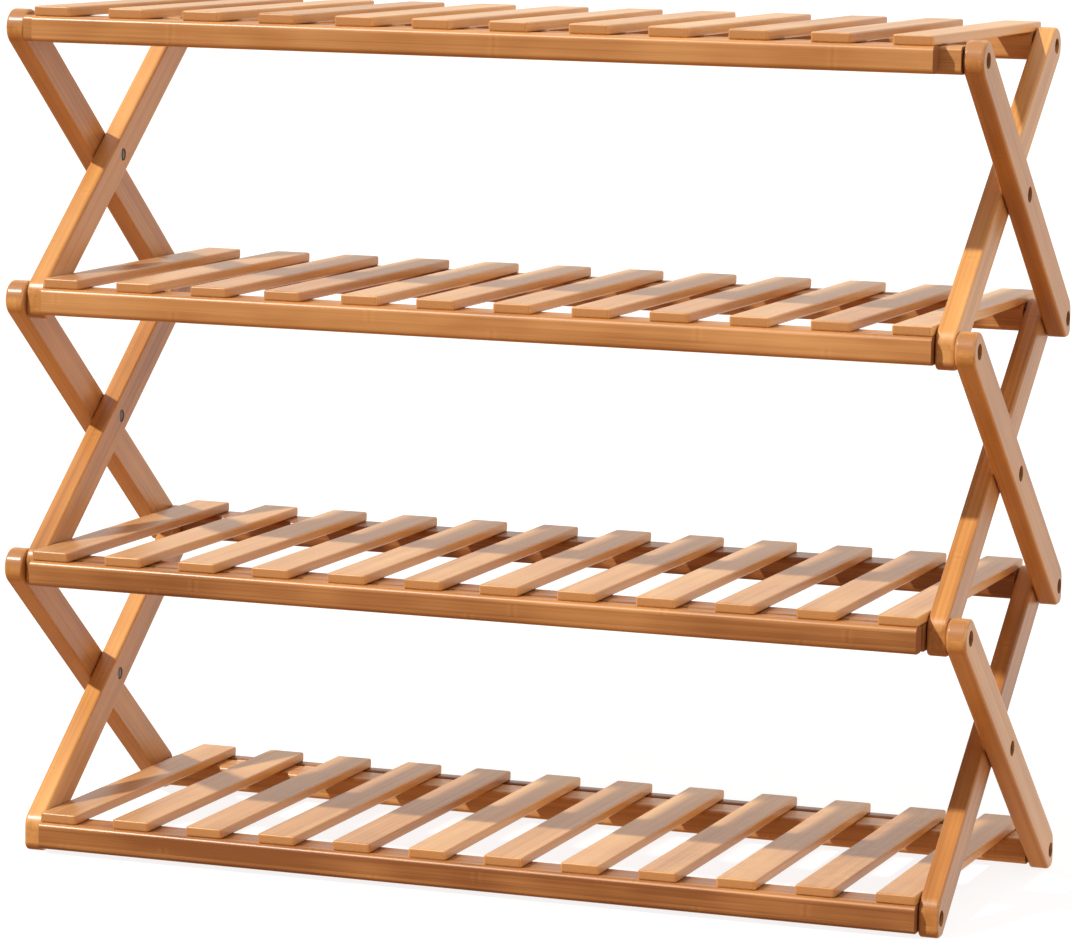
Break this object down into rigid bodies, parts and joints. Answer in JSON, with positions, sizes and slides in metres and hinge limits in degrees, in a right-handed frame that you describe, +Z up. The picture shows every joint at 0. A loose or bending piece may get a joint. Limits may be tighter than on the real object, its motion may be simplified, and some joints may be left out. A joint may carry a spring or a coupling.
{
  "type": "folding shoe rack",
  "caption": "Folding slatted bamboo shoe rack on scissor side frames, whose shelf panels hook over their far rails to lock it open",
  "frame": {"origin": "on the floor, under the middle of the open rack", "axes": "+X along the rack to the right, +Y to the back, +Z up"},
  "size_m": [0.7, 0.306, 0.5995],
  "materials": {
    "bar_bamboo": "caramel bamboo, satin lacquer",
    "rail_bamboo": "caramel bamboo, satin lacquer",
    "slat_bamboo": "caramel bamboo, satin lacquer",
    "bolt_steel": "zinc plated",
    "screw_steel": "zinc plated",
    "insert_zinc": "die cast zinc"
  },
  "bodies": {
    "bottom_back_rail": {"free_back_rail_4": "rail_bamboo", "shelf_bolts_back_4": "bolt_steel", "threaded_inserts_back_4": "insert_zinc"},
    "outer_bars_3": {"outer_bar_left_3": "bar_bamboo", "outer_bar_right_3": "bar_bamboo"},
    "inner_bars_3": {"inner_bar_left_3": "bar_bamboo", "inner_bar_right_3": "bar_bamboo", "crossing_bolts_3": "bolt_steel", "crossing_sleeves_3": "bolt_steel"},
    "shelf_4": {"hinge_rail_4": "rail_bamboo", "hook_batten_4": "rail_bamboo", "slats_4": "slat_bamboo", "slat_screws_4": "screw_steel", "shelf_bolts_front_4": "bolt_steel", "threaded_inserts_front_4": "insert_zinc"},
    "shelf_3": {"hinge_rail_3": "rail_bamboo", "hook_batten_3": "rail_bamboo", "slats_3": "slat_bamboo", "slat_screws_3": "screw_steel", "shelf_bolts_back_3": "bolt_steel", "threaded_inserts_back_3": "insert_zinc"},
    "front_rail_3": {"free_front_rail_3": "rail_bamboo", "shelf_bolts_front_3": "bolt_steel", "threaded_inserts_front_3": "insert_zinc"},
    "inner_bars_2": {"inner_bar_left_2": "bar_bamboo", "inner_bar_right_2": "bar_bamboo"},
    "outer_bars_2": {"outer_bar_left_2": "bar_bamboo", "outer_bar_right_2": "bar_bamboo", "crossing_bolts_2": "bolt_steel", "crossing_sleeves_2": "bolt_steel"},
    "back_rail_2": {"free_back_rail_2": "rail_bamboo", "shelf_bolts_back_2": "bolt_steel", "threaded_inserts_back_2": "insert_zinc"},
    "shelf_2": {"hinge_rail_2": "rail_bamboo", "hook_batten_2": "rail_bamboo", "slats_2": "slat_bamboo", "slat_screws_2": "screw_steel", "shelf_bolts_front_2": "bolt_steel", "threaded_inserts_front_2": "insert_zinc"},
    "inner_bars_1": {"inner_bar_left_1": "bar_bamboo", "inner_bar_right_1": "bar_bamboo"},
    "outer_bars_1": {"outer_bar_left_1": "bar_bamboo", "outer_bar_right_1": "bar_bamboo", "crossing_bolts_1": "bolt_steel", "crossing_sleeves_1": "bolt_steel"},
    "front_rail_1": {"free_front_rail_1": "rail_bamboo", "shelf_bolts_front_1": "bolt_steel", "threaded_inserts_front_1": "insert_zinc"},
    "shelf_1": {"hinge_rail_1": "rail_bamboo", "hook_batten_1": "rail_bamboo", "slats_1": "slat_bamboo", "slat_screws_1": "screw_steel", "shelf_bolts_back_1": "bolt_steel", "threaded_inserts_back_1": "insert_zinc"}
  },
  "joints": [
    {"name": "fold", "type": "hinge", "parent": "bottom_back_rail", "child": "outer_bars_3", "pos_m": [0, 0.1215, 0.013], "axis": [-1, 0, 0], "range_deg": [0, 43]},
    {"name": "crossing_3", "type": "hinge", "parent": "outer_bars_3", "child": "inner_bars_3", "pos_m": [0, 0, 0.108], "axis": [1, 0, 0], "range_deg": [0, 86]},
    {"name": "shelf_4_lift", "type": "hinge", "parent": "inner_bars_3", "child": "shelf_4", "pos_m": [0, -0.1215, 0.013], "axis": [1, 0, 0], "range_deg": [0, 43]},
    {"name": "shelf_3_lift", "type": "hinge", "parent": "inner_bars_3", "child": "shelf_3", "pos_m": [0, 0.1215, 0.203], "axis": [-1, 0, 0], "range_deg": [0, 129]},
    {"name": "front_rail_3_turn", "type": "hinge", "parent": "outer_bars_3", "child": "front_rail_3", "pos_m": [0, -0.1215, 0.203], "axis": [1, 0, 0], "range_deg": [0, 43]},
    {"name": "front_pivot_3", "type": "hinge", "parent": "outer_bars_3", "child": "inner_bars_2", "pos_m": [0, -0.1215, 0.203], "axis": [1, 0, 0], "range_deg": [0, 86]},
    {"name": "crossing_2", "type": "hinge", "parent": "inner_bars_2", "child": "outer_bars_2", "pos_m": [0, 0, 0.298], "axis": [-1, 0, 0], "range_deg": [0, 86]},
    {"name": "back_rail_2_turn", "type": "hinge", "parent": "inner_bars_2", "child": "back_rail_2", "pos_m": [0, 0.1215, 0.393], "axis": [-1, 0, 0], "range_deg": [0, 43]},
    {"name": "shelf_2_lift", "type": "hinge", "parent": "outer_bars_2", "child": "shelf_2", "pos_m": [0, -0.1215, 0.393], "axis": [1, 0, 0], "range_deg": [0, 129]},
    {"name": "front_pivot_2", "type": "hinge", "parent": "outer_bars_2", "child": "inner_bars_1", "pos_m": [0, -0.1215, 0.393], "axis": [1, 0, 0], "range_deg": [0, 86]},
    {"name": "crossing_1", "type": "hinge", "parent": "inner_bars_1", "child": "outer_bars_1", "pos_m": [0, 0, 0.488], "axis": [-1, 0, 0], "range_deg": [0, 86]},
    {"name": "front_rail_1_turn", "type": "hinge", "parent": "outer_bars_1", "child": "front_rail_1", "pos_m": [0, -0.1215, 0.583], "axis": [1, 0, 0], "range_deg": [0, 43]},
    {"name": "shelf_1_lift", "type": "hinge", "parent": "inner_bars_1", "child": "shelf_1", "pos_m": [0, 0.1215, 0.583], "axis": [-1, 0, 0], "range_deg": [0, 129]}
  ],
  "couplings": [
    {"joint": "crossing_3", "follows": "fold", "ratio": 2},
    {"joint": "shelf_4_lift", "follows": "fold", "ratio": 1},
    {"joint": "shelf_3_lift", "follows": "fold", "ratio": 3},
    {"joint": "front_rail_3_turn", "follows": "fold", "ratio": 1},
    {"joint": "front_pivot_3", "follows": "fold", "ratio": 2},
    {"joint": "crossing_2", "follows": "fold", "ratio": 2},
    {"joint": "back_rail_2_turn", "follows": "fold", "ratio": 1},
    {"joint": "shelf_2_lift", "follows": "fold", "ratio": 3},
    {"joint": "front_pivot_2", "follows": "fold", "ratio": 2},
    {"joint": "crossing_1", "follows": "fold", "ratio": 2},
    {"joint": "front_rail_1_turn", "follows": "fold", "ratio": 1},
    {"joint": "shelf_1_lift", "follows": "fold", "ratio": 3}
  ]
}
